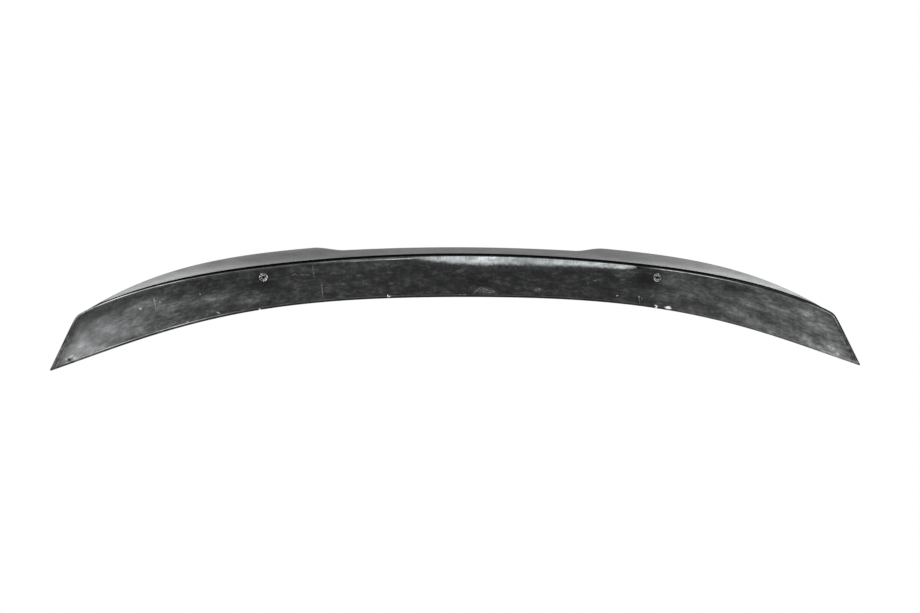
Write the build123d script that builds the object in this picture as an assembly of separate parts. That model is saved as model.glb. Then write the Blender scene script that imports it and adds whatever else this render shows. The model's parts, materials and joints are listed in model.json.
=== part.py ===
"""Lip spoiler for a car's boot lid: a moulded body with two threaded inserts.

Frame: +X to the car's right, +Y to the car's front, +Z up, in millimetres. The origin
lies midway between the two inserts, level with the start of their threads.
"""
from build123d import *

import math
import os

# Plan of the mounting face
SPAN = 1220.0                # tip to tip across the car
MID_CHORD = 64.0             # front edge to rear edge in the middle
INSERT_LINE = 34.9           # line of the inserts in front of the rear edge's middle
SWEEP_STATIONS = (0.4, 0.7, 1.0)       # shares of the half span where the sweeps are given
FRONT_SWEEPS = (11.2, 47.0, 111.0)     # how far the front edge has swept forward there
REAR_SWEEPS = (12.9, 40.9, 115.0)      # the same for the rear edge, before the ends are cut
END_RAKE = 24.0              # angle of the cut ends from the fore-and-aft direction, degrees
TIP_FLAT = 3.0               # width of the blunt tips
CORNER_BLEND = 6.0           # softness of the rear corners in plan

# Shape of the mounting face
CROWN = 58.0                 # drop of the mounting face from the middle to the tips
HOLLOW = 1.5                 # rise of the mounting face between its edges, in the middle
RIM_WIDTH = 3.4              # land around the tape recess
RECESS_DEPTH = 1.2           # depth of the tape recess

# Lip
SHOULDER_SPACING = 456.0     # between the outer ends of the two steps in the lip
STEP_LENGTH = 50.0           # run of each step, from the low middle to the shoulder
LIP_REACH_MID = 15.5         # overhang of the trailing edge behind the rear edge
LIP_REACH_SHOULDER = 25.4
LIP_REACH_FLARE = 1.5        # extra overhang of the low middle where it meets the steps
LIP_RISE_MID = 20.0          # height of the lip above the wedge that runs to the tips
LIP_RISE_SHOULDER = 29.0
LIP_END_INSET = 10.0         # from the rear corner in to where the lip has faded out
REACH_FADE = 3.0             # how late the overhang fades towards the ends
RISE_FADE = 2.0              # how late the height fades towards the ends
FADE_FINISH = 1.25           # how softly both run out

# Section
WEDGE_SLOPE = 0.045          # slope of the plain wedge under the lip
NOSE_RADIUS = 1.7
HEEL_RADIUS = 1.6            # edge between the mounting face and the rear wall
LIP_RADIUS = 1.8
NOSE_LIMIT = 0.28            # largest share of the chord the nose radius takes near the tips
HEEL_LIMIT = 0.2             # the same for the heel radius
LIP_LIMIT = 0.22             # largest share of the height the lip radius takes
WALL_HEIGHT = 4.0            # upright foot of the rear face
WALL_LIMIT = 0.55            # largest share of the height that foot takes
TOP_HANDLE = 0.38            # length of the top curve's end tangents, as a share of its run
REAR_HANDLE = 0.36           # the same for the rear face
LIP_STEEPNESS = 1.6          # slope of the top at the lip, against its mean slope
NOSE_STEEPNESS = 0.45        # the same at the nose
REAR_BULGE = 12.0            # how far the rear face turns to each side at the shoulders, degrees

# Shadow groove between the foot and the overhanging rear face
SLOT_LAND = 0.5              # ledge left between the foot and the groove
SLOT_WIDTH = 3.8
SLOT_DEPTH = 10.0            # from the top of the foot to the groove's ceiling
SLOT_END_WIDTH = 0.9         # width where the groove stops

# Threaded inserts
INSERT_SPACING = 608.0
FLANGE_RADIUS = 6.9
FLANGE_THICKNESS = 1.2
BARREL_RADIUS = 5.0          # of the six-sided barrel, to its corners
BARREL_LENGTH = 6.2
GROOVE_DEPTH = 0.8           # waist that holds the barrel in the moulding
GROOVE_LENGTH = 2.0
HOLE_RADIUS = 2.5
HOLE_DEPTH = 6.2
MOUTH_CHAMFER = 0.8
FLANGE_CHAMFER = 0.35
SEAT_GAP = 0.8               # ring of air round the flange in its seat
SEAT_DROP = 3.6              # height cleared below the flange

# Distances between the sections that the body and its cuts are lofted through
MID_SPACING = 60.0
STEP_SPACING = 10.0
FADE_SPACING = 44.0
END_SPACING = 8.0
LEAD_IN_SECTIONS = 3

HALF_SPAN = SPAN / 2
SHOULDER_X = SHOULDER_SPACING / 2
STEP_START_X = SHOULDER_X - STEP_LENGTH
INSERT_X = INSERT_SPACING / 2


def sweep_curve(x, sweeps):
    """Even curve through zero in the middle and the given sweeps at the stations."""
    share = (x / HALF_SPAN) ** 2
    knots = [0.0] + [station ** 2 for station in SWEEP_STATIONS]
    values = [0.0] + list(sweeps)
    total = 0.0
    for i, value in enumerate(values):
        weight = 1.0
        for j, knot in enumerate(knots):
            if j != i:
                weight *= (share - knot) / (knots[i] - knot)
        total += value * weight
    return total


def front_edge(x):
    return MID_CHORD - INSERT_LINE + sweep_curve(x, FRONT_SWEEPS)


def uncut_rear_edge(x):
    return sweep_curve(x, REAR_SWEEPS) - INSERT_LINE


def end_cut(x):
    """Line of the cut end, which meets the front edge at the blunt tip."""
    return front_edge(HALF_SPAN) - TIP_FLAT - (HALF_SPAN - abs(x)) / math.tan(math.radians(END_RAKE))


def rear_edge(x):
    """The swept rear edge running round a soft corner into the cut end."""
    rear = uncut_rear_edge(x)
    end = end_cut(x)
    return (rear + end + math.hypot(rear - end, CORNER_BLEND)) / 2


def chord(x):
    return front_edge(x) - rear_edge(x)


def root(function, low, high, halvings=60):
    """Where a function changes sign between two places."""
    for _ in range(halvings):
        middle = (low + high) / 2
        if (function(low) > 0) == (function(middle) > 0):
            low = middle
        else:
            high = middle
    return (low + high) / 2


CORNER_X = root(lambda x: uncut_rear_edge(x) - end_cut(x), INSERT_X, HALF_SPAN)
LIP_END_X = CORNER_X - LIP_END_INSET


def nose_radius(x):
    return min(NOSE_RADIUS, NOSE_LIMIT * chord(x))


def heel_radius(x):
    return min(HEEL_RADIUS, HEEL_LIMIT * chord(x))


def hollow(x, along):
    """Rise of the mounting face above its edges, a distance in front of its rear edge."""
    start = heel_radius(x)
    end = chord(x) - nose_radius(x)
    across = (2 * along - start - end) / (end - start)
    return HOLLOW * (chord(x) / MID_CHORD) ** 2 * (1 - across ** 2)


def crown_drop(x):
    return CROWN * (x / HALF_SPAN) ** 2


INSERT_ALONG = -rear_edge(INSERT_X)
FLANGE_LEVEL = -MOUTH_CHAMFER
MID_HEIGHT = FLANGE_LEVEL + crown_drop(INSERT_X) - hollow(INSERT_X, INSERT_ALONG) - RECESS_DEPTH


def place(x, along, up):
    """Point of the section at x: in front of the rear edge and above the crown."""
    return Vector(x, rear_edge(x) + along, MID_HEIGHT - crown_drop(x) + up)


def smooth_step(share):
    share = min(max(share, 0.0), 1.0)
    return share * share * (3 - 2 * share)


def lip_size(x, mid, shoulder, fade_power):
    """A lip size that steps up at the shoulder and fades out before the rear corner."""
    step = smooth_step((abs(x) - STEP_START_X) / STEP_LENGTH)
    out = min(max((abs(x) - SHOULDER_X) / (LIP_END_X - SHOULDER_X), 0.0), 1.0)
    return (mid + (shoulder - mid) * step) * (1 - out ** fade_power) ** FADE_FINISH


def lip_reach(x):
    flare = LIP_REACH_FLARE * min(abs(x) / STEP_START_X, 1.0) ** 2
    return lip_size(x, LIP_REACH_MID + flare, LIP_REACH_SHOULDER, REACH_FADE)


def section_height(x):
    lip = lip_size(x, LIP_RISE_MID, LIP_RISE_SHOULDER, RISE_FADE)
    return 2 * nose_radius(x) + WEDGE_SLOPE * chord(x) + lip


def wall_height(x):
    return min(WALL_HEIGHT, WALL_LIMIT * section_height(x))


def polar(centre, radius, angle):
    return centre[0] + radius * math.cos(angle), centre[1] + radius * math.sin(angle)


def round_points(centre, radius, start, end):
    """Control points of a curve that follows an arc from one angle to another."""
    handle = 4 / 3 * math.tan((end - start) / 4) * radius
    first = polar(centre, radius, start)
    last = polar(centre, radius, end)
    return [
        first,
        polar(first, handle, start + math.pi / 2),
        polar(last, handle, end - math.pi / 2),
        last,
    ]


def two_rounds(centre, radius, start, end):
    """An arc as two curves that meet halfway."""
    middle = (start + end) / 2
    return round_points(centre, radius, start, middle), round_points(centre, radius, middle, end)


def face_points(x, start, end, lift):
    """Control points of the hollow mounting face between two places, lifted by a depth."""
    middle = (start + end) / 2
    crest = 2 * hollow(x, middle) - (hollow(x, start) + hollow(x, end)) / 2
    return [
        (start, hollow(x, start) + lift),
        (middle, crest + lift),
        (end, hollow(x, end) + lift),
    ]


def section(x, *curves):
    """Closed outline at x through curves given by their control points, end to end."""
    return Wire([Bezier(*[place(x, *point) for point in points]) for points in curves])


def body_section(x):
    """Outline of the body in the upright fore-and-aft plane at x."""
    width = chord(x)
    nose = nose_radius(x)
    heel = heel_radius(x)
    rise = section_height(x)
    wall = wall_height(x)
    reach = lip_reach(x)
    lip = min(LIP_RADIUS, LIP_LIMIT * rise)

    top_run = width + reach - nose - lip
    mean_slope = math.atan2(rise - 2 * nose, top_run)
    lip_slope = LIP_STEEPNESS * mean_slope
    nose_slope = NOSE_STEEPNESS * mean_slope
    rear_angle = math.atan2(rise - 2 * lip - wall, reach)
    bulge = math.radians(REAR_BULGE) * reach / LIP_REACH_SHOULDER
    under_angle = rear_angle + bulge
    foot_angle = rear_angle - bulge

    mount_face = face_points(x, heel, width - nose, 0)
    nose_rounds = two_rounds((width - nose, nose), nose, -math.pi / 2, math.pi / 2)
    lip_rounds = two_rounds(
        (lip - reach, rise - lip), lip, math.pi / 2 - lip_slope, 3 * math.pi / 2 - under_angle
    )
    heel_rounds = two_rounds((heel, heel), heel, math.pi, 3 * math.pi / 2)
    nose_top = nose_rounds[-1][-1]
    lip_top = lip_rounds[0][0]
    lip_under = lip_rounds[-1][-1]
    wall_top = (0, wall)
    top_handle = TOP_HANDLE * math.dist(lip_top, nose_top)
    rear_handle = REAR_HANDLE * math.dist(lip_under, wall_top)
    top = [
        nose_top,
        polar(nose_top, top_handle, math.pi - nose_slope),
        polar(lip_top, top_handle, -lip_slope),
        lip_top,
    ]
    rear_face = [
        lip_under,
        polar(lip_under, rear_handle, -under_angle),
        polar(wall_top, rear_handle, math.pi - foot_angle),
        wall_top,
    ]
    rear_wall = [wall_top, heel_rounds[0][0]]
    return section(
        x, mount_face, *nose_rounds, top, *lip_rounds, rear_face, rear_wall, *heel_rounds
    )


def spread(start, end, spacing):
    """Even steps of about a spacing from start up to, but not at, end."""
    count = math.ceil((end - start) / spacing)
    return [start + (end - start) * i / count for i in range(count)]


def loft_right_half(section_at, stations):
    """Smooth body through sections from just across the middle out to the right tip."""
    lead_in = [-x for x in reversed(stations[1:LEAD_IN_SECTIONS + 1])]
    return Solid.make_loft([section_at(x) for x in lead_in + stations])


def body_stations():
    stations = spread(0, STEP_START_X, MID_SPACING)
    stations += spread(STEP_START_X, SHOULDER_X, STEP_SPACING)
    stations += spread(SHOULDER_X, LIP_END_X, FADE_SPACING)
    stations += spread(LIP_END_X, HALF_SPAN, END_SPACING)
    return stations + [HALF_SPAN]


def slope(curve, x):
    step = 0.01
    return (curve(x + step) - curve(x - step)) / (2 * step)


def rim(curve, x):
    """Fore-and-aft width of the land, which is square to its edge."""
    return RIM_WIDTH * math.hypot(1, slope(curve, x))


def recess_width(x):
    return chord(x) - rim(front_edge, x) - rim(rear_edge, x)


def recess_section(x):
    """Outline of the tape recess at x, open below the mounting face."""
    rear = rim(rear_edge, x)
    front = chord(x) - rim(front_edge, x)
    ceiling = face_points(x, rear, front, RECESS_DEPTH)
    mouth_front = (front, -RECESS_DEPTH)
    mouth_rear = (rear, -RECESS_DEPTH)
    return section(
        x,
        ceiling,
        [ceiling[-1], mouth_front],
        [mouth_front, mouth_rear],
        [mouth_rear, ceiling[0]],
    )


def recess_stations():
    end = root(lambda x: recess_width(x) - RIM_WIDTH, CORNER_X, HALF_SPAN)
    inner = spread(0, LIP_END_X, MID_SPACING)
    outer = spread(LIP_END_X, end, END_SPACING)
    return inner + outer + [end]


def slot_width(x):
    return lip_size(x, SLOT_WIDTH, SLOT_WIDTH, REACH_FADE)


def slot_section(x):
    """Outline of the shadow groove at x, open below the mounting face."""
    front = -SLOT_LAND
    rear = front - slot_width(x)
    ceiling = wall_height(x) + lip_size(x, SLOT_DEPTH, SLOT_DEPTH, RISE_FADE)
    corners = [(front, 0), (front, ceiling), (rear, ceiling), (rear, 0)]
    return section(x, *zip(corners, corners[1:] + corners[:1]))


def slot_stations():
    end = root(lambda x: slot_width(x) - SLOT_END_WIDTH, SHOULDER_X, LIP_END_X)
    inner = spread(0, SHOULDER_X, MID_SPACING)
    outer = spread(SHOULDER_X, end, FADE_SPACING)
    return inner + outer + [end]


def turned(radius, start, length):
    """Upright cylinder that starts at a height."""
    return Pos(0, 0, start) * Cylinder(radius, length, align=(Align.CENTER, Align.CENTER, Align.MIN))


def six_sided(radius, start, length):
    """Upright six-sided bar that starts at a height."""
    return Pos(0, 0, start) * extrude(RegularPolygon(radius, 6), length)


def insert_blank():
    """Flange and waisted barrel of an insert, before its hole is tapped."""
    flange = turned(FLANGE_RADIUS, 0, FLANGE_THICKNESS)
    waist = six_sided(BARREL_RADIUS - GROOVE_DEPTH, FLANGE_THICKNESS, BARREL_LENGTH)
    shoulder_length = (BARREL_LENGTH - GROOVE_LENGTH) / 2
    lower = six_sided(BARREL_RADIUS, FLANGE_THICKNESS, shoulder_length)
    upper = Pos(0, 0, shoulder_length + GROOVE_LENGTH) * lower
    return flange + waist + lower + upper


def threaded_insert():
    blank = insert_blank()
    face_rim = blank.edges().filter_by(GeomType.CIRCLE).group_by(Axis.Z)[0]
    insert = chamfer(face_rim, FLANGE_CHAMFER)
    insert -= turned(HOLE_RADIUS, 0, HOLE_DEPTH)
    return insert - Cone(
        HOLE_RADIUS + MOUTH_CHAMFER, HOLE_RADIUS, MOUTH_CHAMFER,
        align=(Align.CENTER, Align.CENTER, Align.MIN),
    )


def insert_pocket():
    """Room for an insert and, below its flange, an open seat."""
    seat = turned(FLANGE_RADIUS + SEAT_GAP, -SEAT_DROP, SEAT_DROP + FLANGE_THICKNESS)
    return insert_blank() + seat


def spoiler_body():
    half = loft_right_half(body_section, body_stations())
    half -= loft_right_half(recess_section, recess_stations())
    half -= loft_right_half(slot_section, slot_stations())
    half -= Pos(INSERT_X, 0, FLANGE_LEVEL) * insert_pocket()
    half = split(half, bisect_by=Plane.YZ, keep=Keep.TOP)
    return half + mirror(half, about=Plane.YZ)


def threaded_inserts():
    right = Pos(INSERT_X, 0, FLANGE_LEVEL) * threaded_insert()
    return Compound([right, mirror(right, about=Plane.YZ)])


os.makedirs("parts", exist_ok=True)
export_step(spoiler_body(), "parts/spoiler_body.step")
export_step(threaded_inserts(), "parts/threaded_inserts.step")
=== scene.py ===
"""Looks of a boot-lid lip spoiler, seen from below, square to its mounting face.

The body is drawn again as a fine mesh on the formulas of its solid, so that the finish can
follow its edges, and the inserts get their threads. Sizes are in millimetres until a mesh is
made, in the frame of the solids: +X to the car's right, +Y to its front, +Z up.
"""

import json
import math

import bmesh
import bpy
from mathutils import Matrix, Vector


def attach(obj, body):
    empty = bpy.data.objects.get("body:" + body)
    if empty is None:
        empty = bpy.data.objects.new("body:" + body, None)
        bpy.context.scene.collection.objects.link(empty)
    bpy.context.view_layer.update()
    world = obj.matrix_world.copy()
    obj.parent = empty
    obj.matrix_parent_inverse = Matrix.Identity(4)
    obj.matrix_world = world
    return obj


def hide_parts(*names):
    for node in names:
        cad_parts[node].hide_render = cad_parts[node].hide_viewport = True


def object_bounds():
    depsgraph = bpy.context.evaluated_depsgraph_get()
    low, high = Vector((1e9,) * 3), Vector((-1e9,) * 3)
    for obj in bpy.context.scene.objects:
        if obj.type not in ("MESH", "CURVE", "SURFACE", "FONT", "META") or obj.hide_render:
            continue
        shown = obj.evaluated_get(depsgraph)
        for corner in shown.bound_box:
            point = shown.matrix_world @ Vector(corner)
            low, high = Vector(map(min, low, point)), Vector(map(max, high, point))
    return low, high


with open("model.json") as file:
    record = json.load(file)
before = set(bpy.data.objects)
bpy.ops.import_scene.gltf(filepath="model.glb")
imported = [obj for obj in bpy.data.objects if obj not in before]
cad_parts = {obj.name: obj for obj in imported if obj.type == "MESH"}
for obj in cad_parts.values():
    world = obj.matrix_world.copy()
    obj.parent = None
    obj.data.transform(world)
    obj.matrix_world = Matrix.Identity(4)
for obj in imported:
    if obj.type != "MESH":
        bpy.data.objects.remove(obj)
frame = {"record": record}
cad_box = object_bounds()

MM = 0.001
BOLTS = frame["record"]["mounts"][0]["dims"]

# Plan of the mounting face
HALF_SPAN = cad_box[1].x / MM
MID_CHORD = 64.0             # front edge to rear edge in the middle
INSERT_LINE = 34.9           # line of the inserts in front of the rear edge's middle
SWEEP_STATIONS = (0.4, 0.7, 1.0)       # shares of the half span where the sweeps are given
FRONT_SWEEPS = (11.2, 47.0, 111.0)     # how far the front edge has swept forward there
REAR_SWEEPS = (12.9, 40.9, 115.0)      # the same for the rear edge, before the ends are cut
END_RAKE = math.radians(24)  # angle of the cut ends from the fore-and-aft direction
TIP_FLAT = 3.0               # width of the blunt tips
CORNER_BLEND = 6.0           # softness of the rear corners in plan

# Shape of the mounting face
CROWN = 58.0                 # drop of the mounting face from the middle to the tips
HOLLOW = 1.5                 # rise of the mounting face between its edges, in the middle
RIM_WIDTH = 3.4              # land around the tape recess
RECESS_DEPTH = 1.2
EDGE_ROUND = 0.35            # softness of the recess's edges

# Lip
SHOULDER_X = 228.0           # outer end of the step in the lip
STEP_START_X = 178.0         # its inner end
LIP_REACH_MID = 15.5         # overhang of the trailing edge behind the rear edge
LIP_REACH_SHOULDER = 25.4
LIP_REACH_FLARE = 1.5        # extra overhang of the middle where it meets the steps
LIP_RISE_MID = 20.0          # height of the lip above the wedge that runs to the tips
LIP_RISE_SHOULDER = 28.92    # as the lofted solid comes out
LIP_END_INSET = 10.0         # from the rear corner in to where the lip has faded out
REACH_FADE = 3.0             # how late the overhang fades towards the ends
RISE_FADE = 2.0              # how late the height fades towards the ends
FADE_FINISH = 1.25           # how softly both run out

# Section
WEDGE_SLOPE = 0.045          # slope of the plain wedge under the lip
NOSE_RADIUS = 1.7
HEEL_RADIUS = 1.6            # edge between the mounting face and the rear wall
LIP_RADIUS = 1.8
NOSE_LIMIT = 0.28            # largest share of the chord the nose radius takes near the tips
HEEL_LIMIT = 0.2             # the same for the heel radius
LIP_LIMIT = 0.22             # largest share of the height the lip radius takes
WALL_HEIGHT = 4.0            # upright foot of the rear face
WALL_LIMIT = 0.55            # largest share of the height that foot takes
TOP_HANDLE = 0.38            # length of the top curve's end tangents, as a share of its run
REAR_HANDLE = 0.36           # the same for the rear face
LIP_STEEPNESS = 1.6          # slope of the top at the lip, against its mean slope
NOSE_STEEPNESS = 0.45        # the same at the nose
REAR_BULGE = math.radians(12)          # how far the rear face turns to each side at the shoulders

# Shadow groove between the foot and the overhanging rear face
SLOT_LAND = 0.5              # ledge left between the foot and the groove
SLOT_WIDTH = 3.8
SLOT_DEPTH = 10.0            # from the top of the foot to the groove's ceiling
SLOT_END_WIDTH = 0.9         # width where the groove stops

# Threaded inserts
INSERT_X = BOLTS["spacing_x_mm"] / 2
HOLE_RADIUS = BOLTS["hole_r_mm"]
FLANGE_RADIUS = 6.9
FLANGE_THICKNESS = 1.2
FLANGE_CHAMFER = 0.35
BARREL_RADIUS = 5.0          # of the six-sided barrel, to its corners
BARREL_LENGTH = 6.2
GROOVE_DEPTH = 0.8           # waist that holds the barrel in the moulding
GROOVE_LENGTH = 2.0
HOLE_DEPTH = 6.2
MOUTH_CHAMFER = 0.8
THREAD_PITCH = 1.0
THREAD_DEPTH = 0.5
THREAD_ROWS = 10             # rows of points to a turn
SEAT_GAP = 0.8               # ring of air round the flange in its seat
SEAT_DROP = 3.6              # height cleared below the flange
TURN_SEGMENTS = 48           # points round an insert

# Fineness of the body's mesh: spacing of its sections, and steps of each run round a section
MID_SPACING = 8.0
STEP_SPACING = 2.5
FADE_SPACING = 7.0
END_SPACING = 2.5
TIP_SPACING = 1.0
HEEL_STEPS = 6
LAND_STEPS = 3
FLOOR_STEPS = 30
NOSE_STEPS = 12
TOP_STEPS = 40
LIP_STEPS = 12
REAR_STEPS = 16
SLOT_STEPS = 3
WALL_STEPS = 2
SMOOTH_BELOW = math.radians(48)        # edges that turn less are shaded smooth
WELD = 1e-4                  # points closer than this become one

# Camera, found from the photograph's outline
CAMERA_AIM = Vector((-4.6, 43.8, 11.0))
CAMERA_DISTANCE = 2400.0
CAMERA_YAW = math.radians(7.41)        # to the left of straight below
CAMERA_TILT = math.radians(4)          # towards the car's front
CAMERA_ROLL = math.radians(-0.1)
CAMERA_LENS = 61.18

# Floor, world and lamps
FLOOR_LEVEL = -3500.0        # below the camera, which looks up
FLOOR_SIZE = 60000.0
FLOOR_TONE = 0.85
FLOOR_GLOW = 0.5             # light that lifts it to white for the camera
WORLD_LIGHT = 0.55           # strength of the white world as a light
LAMP_AIM = (0, 40, 0)
LAMPS = (                    # name, place, aim, (width, height), watts
    ("key_below", (600, 700, -2600), LAMP_AIM, (2000, 1400), 30),
    ("fill_below", (-1500, -500, -2200), LAMP_AIM, (1400, 1400), 12),
    ("rear_low", (0, -2500, -420), (0, -20, 10), (3400, 400), 24),
    ("key_above", (-900, -1400, 2400), LAMP_AIM, (2000, 1600), 18),
    ("fill_above", (1500, 900, 2000), LAMP_AIM, (1400, 1400), 6),
    ("sheen_above", (0, 1500, 2100), LAMP_AIM, (2800, 500), 22),
)


# Body

def sweep_curve(x, sweeps):
    """Even curve through zero in the middle and the given sweeps at the stations."""
    share = (x / HALF_SPAN) ** 2
    knots = [0.0] + [station ** 2 for station in SWEEP_STATIONS]
    total = 0.0
    for i, value in enumerate([0.0, *sweeps]):
        weight = 1.0
        for j, knot in enumerate(knots):
            if j != i:
                weight *= (share - knot) / (knots[i] - knot)
        total += value * weight
    return total


def front_edge(x):
    return MID_CHORD - INSERT_LINE + sweep_curve(x, FRONT_SWEEPS)


def uncut_rear_edge(x):
    return sweep_curve(x, REAR_SWEEPS) - INSERT_LINE


def end_cut(x):
    """Line of the cut end, which meets the front edge at the blunt tip."""
    return front_edge(HALF_SPAN) - TIP_FLAT - (HALF_SPAN - abs(x)) / math.tan(END_RAKE)


def rear_edge(x):
    """The swept rear edge running round a soft corner into the cut end."""
    rear = uncut_rear_edge(x)
    end = end_cut(x)
    return (rear + end + math.hypot(rear - end, CORNER_BLEND)) / 2


def chord(x):
    return front_edge(x) - rear_edge(x)


def root(function, low, high, halvings=60):
    """Where a function changes sign between two places."""
    for _ in range(halvings):
        middle = (low + high) / 2
        if (function(low) > 0) == (function(middle) > 0):
            low = middle
        else:
            high = middle
    return (low + high) / 2


CORNER_X = root(lambda x: uncut_rear_edge(x) - end_cut(x), INSERT_X, HALF_SPAN)
LIP_END_X = CORNER_X - LIP_END_INSET


def nose_radius(x):
    return min(NOSE_RADIUS, NOSE_LIMIT * chord(x))


def heel_radius(x):
    return min(HEEL_RADIUS, HEEL_LIMIT * chord(x))


def hollow(x, along):
    """Rise of the mounting face above its edges, a distance in front of its rear edge."""
    start = heel_radius(x)
    end = chord(x) - nose_radius(x)
    across = (2 * along - start - end) / (end - start)
    return HOLLOW * (chord(x) / MID_CHORD) ** 2 * (1 - across ** 2)


def crown_drop(x):
    return CROWN * (x / HALF_SPAN) ** 2


FLANGE_LEVEL = -MOUTH_CHAMFER
SEAT_LEVEL = FLANGE_LEVEL + FLANGE_THICKNESS
BARREL_TOP = SEAT_LEVEL + BARREL_LENGTH
HOLE_TOP = FLANGE_LEVEL + HOLE_DEPTH
MID_HEIGHT = (
    FLANGE_LEVEL + crown_drop(INSERT_X) - hollow(INSERT_X, -rear_edge(INSERT_X)) - RECESS_DEPTH
)


def smooth_step(share):
    share = min(max(share, 0.0), 1.0)
    return share * share * (3 - 2 * share)


def lip_size(x, mid, shoulder, fade_power):
    """A lip size that steps up at the shoulder and fades out before the rear corner."""
    step = smooth_step((abs(x) - STEP_START_X) / (SHOULDER_X - STEP_START_X))
    out = min(max((abs(x) - SHOULDER_X) / (LIP_END_X - SHOULDER_X), 0.0), 1.0)
    return (mid + (shoulder - mid) * step) * (1 - out ** fade_power) ** FADE_FINISH


def lip_reach(x):
    flare = LIP_REACH_FLARE * min(abs(x) / STEP_START_X, 1.0) ** 2
    return lip_size(x, LIP_REACH_MID + flare, LIP_REACH_SHOULDER, REACH_FADE)


def section_height(x):
    lip = lip_size(x, LIP_RISE_MID, LIP_RISE_SHOULDER, RISE_FADE)
    return 2 * nose_radius(x) + WEDGE_SLOPE * chord(x) + lip


def wall_height(x):
    return min(WALL_HEIGHT, WALL_LIMIT * section_height(x))


def slot_width(x):
    return lip_size(x, SLOT_WIDTH, SLOT_WIDTH, REACH_FADE)


def slot_ceiling(x):
    return wall_height(x) + lip_size(x, SLOT_DEPTH, SLOT_DEPTH, RISE_FADE)


def slope(curve, x):
    step = 0.01
    return (curve(x + step) - curve(x - step)) / (2 * step)


def rim(curve, x):
    """Fore-and-aft width of the land, which is square to its edge."""
    return RIM_WIDTH * math.hypot(1, slope(curve, x))


def recess_width(x):
    return chord(x) - rim(front_edge, x) - rim(rear_edge, x)


RECESS_END_X = root(lambda x: recess_width(x) - RIM_WIDTH, CORNER_X, HALF_SPAN)
SLOT_END_X = root(lambda x: slot_width(x) - SLOT_END_WIDTH, SHOULDER_X, LIP_END_X)


def polar(centre, radius, angle):
    return centre[0] + radius * math.cos(angle), centre[1] + radius * math.sin(angle)


def shares(steps):
    return [i / steps for i in range(steps + 1)]


def arc(centre, radius, start, end, steps):
    return [polar(centre, radius, start + (end - start) * s) for s in shares(steps)]


def line(start, end, steps):
    return [tuple(a + (b - a) * s for a, b in zip(start, end)) for s in shares(steps)]


def bezier(points, t):
    u = 1 - t
    weights = (u ** 3, 3 * u * u * t, 3 * u * t * t, t ** 3)
    return tuple(sum(w * p[axis] for w, p in zip(weights, points)) for axis in (0, 1))


def stretch(points, start, end, steps):
    """Part of a Bezier curve between two of its parameters."""
    return [bezier(points, start + (end - start) * s) for s in shares(steps)]


def upper_section(x):
    """Nose arc, top curve, lip arc and rear curve of the section at x."""
    width = chord(x)
    nose = nose_radius(x)
    rise = section_height(x)
    wall = wall_height(x)
    reach = lip_reach(x)
    lip = min(LIP_RADIUS, LIP_LIMIT * rise)
    mean_slope = math.atan2(rise - 2 * nose, width + reach - nose - lip)
    lip_slope = LIP_STEEPNESS * mean_slope
    rear_angle = math.atan2(rise - 2 * lip - wall, reach)
    bulge = REAR_BULGE * reach / LIP_REACH_SHOULDER
    under_angle = rear_angle + bulge
    nose_arc = arc((width - nose, nose), nose, -math.pi / 2, math.pi / 2, NOSE_STEPS)
    lip_arc = arc(
        (lip - reach, rise - lip), lip,
        math.pi / 2 - lip_slope, 3 * math.pi / 2 - under_angle, LIP_STEPS,
    )
    nose_top = nose_arc[-1]
    lip_top = lip_arc[0]
    lip_under = lip_arc[-1]
    wall_top = (0.0, wall)
    top_handle = TOP_HANDLE * math.dist(lip_top, nose_top)
    rear_handle = REAR_HANDLE * math.dist(lip_under, wall_top)
    top = [
        nose_top,
        polar(nose_top, top_handle, math.pi - NOSE_STEEPNESS * mean_slope),
        polar(lip_top, top_handle, -lip_slope),
        lip_top,
    ]
    rear = [
        lip_under,
        polar(lip_under, rear_handle, -under_angle),
        polar(wall_top, rear_handle, math.pi - rear_angle + bulge),
        wall_top,
    ]
    return nose_arc, top, lip_arc, rear


def slot_edges(x):
    """Parameters of the rear curve at the groove's two edges, kept beyond the groove's end."""
    inside = min(abs(x), SLOT_END_X)
    rear_curve = upper_section(inside)[-1]
    outer = root(lambda t: bezier(rear_curve, t)[0] + SLOT_LAND + slot_width(inside), 0.0, 1.0)
    inner = root(lambda t: bezier(rear_curve, t)[0] + SLOT_LAND, 0.0, 1.0)
    return outer, inner


def recess_run(x, depth):
    """Mounting face from the heel to the nose, with the recess sunk into it by a depth."""
    width = chord(x)
    inside = min(abs(x), RECESS_END_X)
    rear = width * rim(rear_edge, inside) / chord(inside)
    front = width * (1 - rim(front_edge, inside) / chord(inside))
    soft = min(EDGE_ROUND, depth / 2)
    half_soft = soft * (1 - math.sqrt(0.5))

    def along_face(start, end, steps, lift):
        return [(a, hollow(x, a) + lift) for a, _ in line((start, 0), (end, 0), steps)]

    return (
        along_face(heel_radius(x), rear - soft, LAND_STEPS, 0)
        + [(rear - half_soft, hollow(x, rear) + half_soft), (rear, hollow(x, rear) + soft)]
        + along_face(rear, front, FLOOR_STEPS, depth)
        + [(front, hollow(x, front) + soft), (front + half_soft, hollow(x, front) + half_soft)]
        + along_face(front + soft, width - nose_radius(x), LAND_STEPS, 0)
    )


def slot_run(x, rear, outer, inner, is_open):
    """Walls of the groove between its two edges, or the rear curve there where it has ended."""
    if not is_open:
        return stretch(rear, outer, inner, 2 * SLOT_STEPS + 1)
    ceiling = slot_ceiling(x)
    outer_edge = bezier(rear, outer)
    inner_edge = bezier(rear, inner)
    return (
        line(outer_edge, (outer_edge[0], ceiling), SLOT_STEPS)
        + line((inner_edge[0], ceiling), inner_edge, SLOT_STEPS)
    )


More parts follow.
